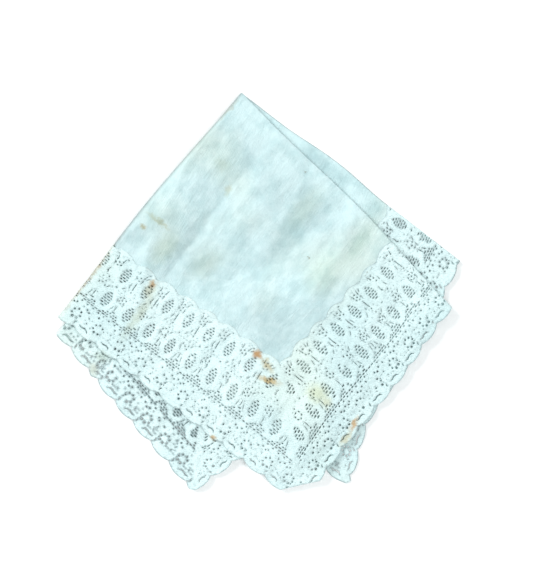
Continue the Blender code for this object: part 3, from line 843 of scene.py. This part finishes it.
def chartX(length, along, y):  # where a point is on the chart, from 0 to the repeat
    half = sheet["halfSide"]
    even = np.arange(-1.2 * half, 1.2 * half, 0.5 * mm)
    upright = along - length["slant"] * (lace["flower"] - y) * mm
    pattern = np.interp(upright, onEdge(length, even), even)
    turns = (pattern + half) * length["way"] / (2 * half) * length["repeats"]
    return np.mod(turns * lace["repeat"] + lace["scallopTop"], lace["repeat"])


def outerReach(length, along):  # how far out the scalloped edge is, in metres
    turn = (chartX(length, along, 48.0) - lace["scallopTop"]) / lace["repeat"]
    dip = lace["scallopDepth"] * mm * (1 - np.abs(np.cos(math.pi * turn)) ** lace["scallopPower"])
    return sheet["halfSide"] - dip * smooth((sheet["halfSide"] - np.abs(along)) / (lace["scallopFade"] * mm))


def innerReach(length, along):
    wave = np.abs(np.cos(math.pi * chartX(length, along, 0.0) / lace["repeat"])) ** lace["innerPower"]
    return innerHalf + lace["innerScallop"] * mm * (0.5 - wave)


def roundCorner(flat, radius):
    centre = sheet["halfSide"] - radius
    beyond = np.maximum(0.0, np.abs(flat) - centre)
    far = np.linalg.norm(beyond, axis=1)
    held = beyond * np.minimum(1.0, radius / np.maximum(far, 1e-9))[:, None]
    outside = (far > radius)[:, None]
    return np.where(outside, np.sign(flat) * np.minimum(np.abs(flat), centre + held), flat)


# Raised parts of the lace in millimetres: how much thicker, how far out and how wide
relief = {
    "petalRim": (0.22, 0.78, 0.16), "bud": (0.10, 1.0, 0.4),  # in sizes of the petal and of the bud
    "flowerHeart": (0.24, 0.0, 1.1), "flowerRing": (0.14, 3.6, 0.6),
    "outerEdge": (0.20, 0.55, 0.5), "outerLine": (0.10, 2.2, 0.6), "innerEdge": (0.16, 0.5, 0.7),
}
laceThickness = {"ground": 0.21, "least": 0.17, "most": 0.46, "mitre": 0.32}


def raised(name, distance):
    height, at, width = relief[name]
    return height * np.exp(-((distance - at) / width) ** 2)


def thicknessOf(x, fromInner, fromOuter, y):  # millimetres, from where a point is on the lace
    repeat = lace["repeat"]
    toFlower = np.minimum(x, repeat - x)
    thick = np.full(len(x), laceThickness["ground"])
    for row in lace["windowRows"]:
        thick += raised("petalRim", np.hypot((x - repeat / 2) / (lace["petalWidth"] / 2),
                                             (y - row) / (lace["petalLength"] / 2)))
    flower = np.hypot(toFlower, y - lace["flower"])
    thick += raised("flowerHeart", flower) + raised("flowerRing", flower)
    thick += raised("outerEdge", fromOuter) + raised("outerLine", fromOuter)
    thick += raised("innerEdge", fromInner)
    thick += raised("bud", np.hypot(toFlower / 1.4, (y - 9.0) / 2.6))
    return np.clip(thick, laceThickness["least"], laceThickness["most"])


# The pattern runs round the sheet in one direction (way). Each length has its own shift and slant, and
# a small tuck under the top layer. rim, edgeWorn and innerWorn: how dark the painted shade is round
# the rims of its holes, along its scalloped edge and along its inner edge. quarters and holeSize: at its low
# end and at its high end
flatTuck = {"at": 0.0, "over": 0.02, "take": 0.0}
laceLengths = [
    {"name": "laceRightUpper", "node": "lace_right_upper", "byFirst": True, "side": 1, "repeats": 22,
     "quarters": ("b", "a"), "way": 1, "shift": -0.0046, "slant": 0.0,
     "tuck": {"at": -0.045, "over": 0.040, "take": -0.0022},
     "rim": 0.15, "edgeWorn": 0.5, "innerWorn": 0.85, "holeSize": (1.0, 0.98)},
    {"name": "laceRightLower", "node": "lace_right_lower", "byFirst": True, "side": -1, "repeats": 22,
     "quarters": ("c", "d"), "way": -1, "shift": -0.0017, "slant": 0.0, "tuck": flatTuck,
     "rim": 0.42, "edgeWorn": 0.9, "innerWorn": 0.5, "holeSize": (1.0, 1.0)},
    {"name": "laceLeftInner", "node": "lace_left_inner", "byFirst": False, "side": -1, "repeats": 20,
     "quarters": ("c", "b"), "way": 1, "shift": 0.0, "slant": 0.0,
     "tuck": {"at": 0.060, "over": 0.016, "take": 0.0075},
     "rim": 0.80, "edgeWorn": 1.0, "innerWorn": 0.5, "holeSize": (1.0, 1.0)},
    {"name": "laceLeftOuter", "node": "lace_left_outer", "byFirst": False, "side": 1, "repeats": 20,
     "quarters": ("d", "a"), "way": -1, "shift": -0.0031, "slant": 0.156, "tuck": flatTuck,
     "rim": 0.25, "edgeWorn": 0.5, "innerWorn": 0.12, "holeSize": (1.04, 0.84)},
]
wornReach = {"rim": 0.30, "inner": 0.55, "outer": 0.45}  # how far in from there the painted shade reaches, in millimetres


def toFlat(length, along, reach):  # from along the edge and out from the middle, to the flat sheet
    across = length["side"] * reach
    return np.column_stack((across, along)) if length["byFirst"] else np.column_stack((along, across))


def laceOutline(length):  # the scalloped edge, a mitre, the inner edge and the other mitre
    half = sheet["halfSide"]
    steps = round(lace["repeat"] / lace["edgeStep"])
    edge = np.arange(length["repeats"] * steps + 1) / steps * (2 * half / length["repeats"]) - half
    outer = edge.copy()
    reach = outerReach(length, outer)
    for _ in range(3):  # where the scallops run into the mitres
        outer = np.clip(outer, -reach, reach)
        reach = outerReach(length, outer)
    reach = np.maximum(reach, np.abs(outer))
    outerFlat = toFlat(length, outer, reach)
    low, high = [roundCorner(outerFlat, quarters[name]["round"]) for name in length["quarters"]]
    outerFlat = np.where((outer < 0)[:, None], low, high)
    innerAlong = edge[np.abs(edge) < innerHalf]
    innerFlat = toFlat(length, innerAlong, innerReach(length, innerAlong))
    endLow, endHigh = toFlat(length, np.array([-innerHalf, innerHalf]), np.array([innerHalf, innerHalf]))
    shares = np.linspace(0, 1, lace["mitrePoints"])[1:, None]
    mitreHigh = outerFlat[-1] + (endHigh - outerFlat[-1]) * shares
    mitreLow = endLow + (outerFlat[0] - endLow) * (shares - shares[0])
    outline = np.vstack((outerFlat, mitreHigh, innerFlat[::-1], mitreLow))
    keep = [0]
    for index in range(1, len(outline)):
        if np.linalg.norm(outline[index] - outline[keep[-1]]) > 0.2 * mm:
            keep.append(index)
    return [tuple(point) for point in outline[keep]]


def openHoles(length, chart):  # the chart all along one length, with no two repeats quite the same
    half = sheet["halfSide"]
    pitch = 2 * half / length["repeats"]
    stretch = pitch / (lace["repeat"] * mm)
    stray = random.Random(length["name"])
    holes = []
    for repeat in range(-1, length["repeats"] + 2):
        for hole, share in chart:
            if stray.random() > share:
                continue
            points = np.array(hole)
            points = points + (stray.uniform(-1, 1) * lace["wander"], stray.uniform(-1, 1) * lace["wander"])
            middle = points.mean(axis=0)
            low = length["way"] * (middle[0] - lace["scallopTop"]) * mm * stretch + repeat * pitch < half
            size = length["holeSize"][0 if low else 1]
            points = middle + (points - middle) * stray.uniform(*lace["sizes"]) * size
            fromTop = (points[:, 0] - lace["scallopTop"]) * mm * stretch
            along = onEdge(length, length["way"] * fromTop + repeat * pitch - half)
            along = along + length["slant"] * (lace["flower"] - points[:, 1]) * mm
            out = innerHalf + points[:, 1] * mm
            if np.max(np.abs(along) - out) > -lace["mitreBorder"] * mm:
                continue
            if np.max(out - outerReach(length, along)) > -lace["outerBorder"] * mm:
                continue
            if np.min(out - innerReach(length, along)) < lace["innerBorder"] * mm:
                continue
            holes.append([tuple(point) for point in toFlat(length, along, out)])
    return holes


def freePoints(length, edges):  # an even spread of points where the lace is solid
    half = sheet["halfSide"]
    spacing = lace["solidPoints"] * mm
    free = []
    for row in range(int(sheet["laceWidth"] / (spacing * 0.87)) + 2):
        out = innerHalf - 1.0 * mm + row * spacing * 0.87
        along = -half + (np.arange(int(2 * half / spacing)) + 0.5 * (row % 2)) * spacing
        inside = (np.abs(along) < out - 0.2 * mm) & (out < outerReach(length, along) - 0.3 * mm)
        inside &= out > innerReach(length, along) + 0.3 * mm
        for x, y in toFlat(length, along[inside], np.full(inside.sum(), out)):
            if edges.find((x, y, 0.0))[2] > 0.42 * mm:
                free.append((x, y))
    return free


def touchesLength(line, length):  # whether a line of the flat sheet crosses this strip
    axis = 0 if length["byFirst"] else 1
    ends = [point[axis] * length["side"] for point in line]
    return max(ends) > innerHalf - 2 * mm and min(ends) < sheet["halfSide"]


def makeLace(length, chart, material):
    outline = laceOutline(length)
    holes = openHoles(length, chart)
    rims = [point for hole in holes for point in hole]
    free = freePoints(length, pointTree(rims + outline))
    lines = foldLines() + (turnedLines() if "a" in length["quarters"] else [])
    lines = [line for line in lines if touchesLength(line, length)]
    flat, triangles = triangulate(outline, holes, lines, clearOfFolds(free))

    along, out = (flat[:, 1], flat[:, 0]) if length["byFirst"] else (flat[:, 0], flat[:, 1])
    out = np.abs(out)
    y = (out - innerHalf) / mm
    fromInner = (out - innerReach(length, along)) / mm
    fromOuter = (outerReach(length, along) - out) / mm
    fromMitre = (out - np.abs(along)) / mm
    pastMitre = smooth((fromMitre - 0.4) / 1.6)
    thick = thicknessOf(chartX(length, along, y), fromInner, fromOuter, y)
    thick = (laceThickness["mitre"] + (thick - laceThickness["mitre"]) * pastMitre) * mm
    rimTree = pointTree(rims)
    fromRim = np.array([rimTree.find((place[0], place[1], 0.0))[2] for place in flat])
    # painted shade round the rims of the holes, along the inner edge and along the scalloped edge
    worn = length["rim"] * (1 - smooth(fromRim / (wornReach["rim"] * mm)))
    worn = np.maximum(worn, length["innerWorn"] * (1 - smooth(fromInner / wornReach["inner"])) * pastMitre)
    worn = np.maximum(worn, length["edgeWorn"] * (1 - smooth(fromOuter / wornReach["outer"])))
    piece = makeCloth(length["name"], flat, triangles, thick, material, worn)
    onMitre = np.abs(fromMitre) < 0.02
    for edge in piece.data.edges:  # a crisp edge there, so that no line shows between two lengths
        edge.use_edge_sharp = bool(onMitre[edge.vertices[0]] and onMitre[edge.vertices[1]])
    corners = flat[triangles]
    sides = corners[:, 1:] - corners[:, :1]
    area = float(np.abs(sides[:, 0, 0] * sides[:, 1, 1] - sides[:, 0, 1] * sides[:, 1, 0]).sum() / 2)
    return piece, len(holes), area


centreCloth = {"overlap": 1.35 * mm, "pointSpacing": 1.25 * mm, "thickness": 0.16 * mm}


def makeCentreCloth(material):
    half = innerHalf + centreCloth["overlap"]
    outline = [(half, half), (-half, half), (-half, -half), (half, -half)]
    count = int(2 * half / centreCloth["pointSpacing"])
    inner = []
    for row in range(1, count):
        for column in range(1, count):
            x = -half + 2 * half * (column + 0.25 * (row % 2) - 0.125) / count
            inner.append((x, -half + 2 * half * row / count))
    for step in range(1, count):
        place = -half + 2 * half * step / count
        inner += [(place, half), (place, -half), (half, place), (-half, place)]
    lines = [line for line in foldLines() if max(np.abs(line[0]).max(), np.abs(line[1]).max()) < half]
    flat, triangles = triangulate(outline, [], lines, clearOfFolds(inner))
    return makeCloth("centreCloth", flat, triangles, centreCloth["thickness"], material, wornFold(flat))


# Making

def makeCamera():
    view = {"pixel": 0.52 * mm, "high": 568, "middle": (0.00414, 0.00389), "distance": 0.90, "sensor": 36.0}
    data = bpy.data.cameras.new("overhead")
    camera = bpy.data.objects.new("overhead", data)
    bpy.context.scene.collection.objects.link(camera)
    camera.location = (view["middle"][0], view["middle"][1], view["distance"])
    data.sensor_width = view["sensor"]
    data.lens = view["sensor"] * (view["distance"] - 0.004) / (view["high"] * view["pixel"])
    data.clip_start = 0.01
    bpy.context.scene.camera = camera
    bpy.context.scene.view_settings.view_transform = "Standard"


def makeLight():
    studio = [
        {"name": "windowLight", "from": (-4.0, 3.10, 3.00), "size": 2.2, "power": 262.0, "colour": "#FFFFFF"},
        {"name": "softTop", "from": (0.50, -0.40, 2.2), "size": 1.6, "power": 30.0, "colour": "#FFFFFF"},
    ]
    for lamp in studio:
        data = bpy.data.lights.new(lamp["name"], "AREA")
        data.shape = "SQUARE"
        data.size = lamp["size"]
        data.energy = lamp["power"]
        data.color = linear(lamp["colour"])[:3]
        light = bpy.data.objects.new(lamp["name"], data)
        light.location = lamp["from"]
        light.rotation_euler = (-Vector(lamp["from"])).to_track_quat("-Z", "Y").to_euler()
        bpy.context.scene.collection.objects.link(light)
    world = bpy.data.worlds.new("paleRoom")
    world.use_nodes = True
    world.node_tree.nodes["Background"].inputs["Color"].default_value = linear("#F2F7F8")
    world.node_tree.nodes["Background"].inputs["Strength"].default_value = 0.56
    bpy.context.scene.world = world


def makeFloor(material):
    mesh = bpy.data.meshes.new("surface")
    reach = 1.5
    corners = [(-reach, -reach, 0), (reach, -reach, 0), (reach, reach, 0), (-reach, reach, 0)]
    mesh.from_pydata(corners, [], [(0, 1, 2, 3)])
    mesh.materials.append(material)
    floor = bpy.data.objects.new("surface", mesh)
    bpy.context.scene.collection.objects.link(floor)


makeCamera()
makeLight()
makeFloor(makeFloorMaterial())
print("camera, light and surface are set")

batiste = makeBatiste()
laceThread = makeLaceThread()
print("materials are made")

centre = makeCentreCloth(batiste)
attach(centre, "root")
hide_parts("centre_cloth")
print("centre cloth:", len(centre.data.polygons), "faces on one side")

chart = chartHoles()
print("lace chart:", len(chart), "holes in a repeat")
for length in laceLengths:
    piece, holeCount, area = makeLace(length, chart, laceThread)
    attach(piece, "root")
    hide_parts(length["node"])
    print(length["name"] + ":", holeCount, "holes,", len(piece.data.polygons), "faces on one side")
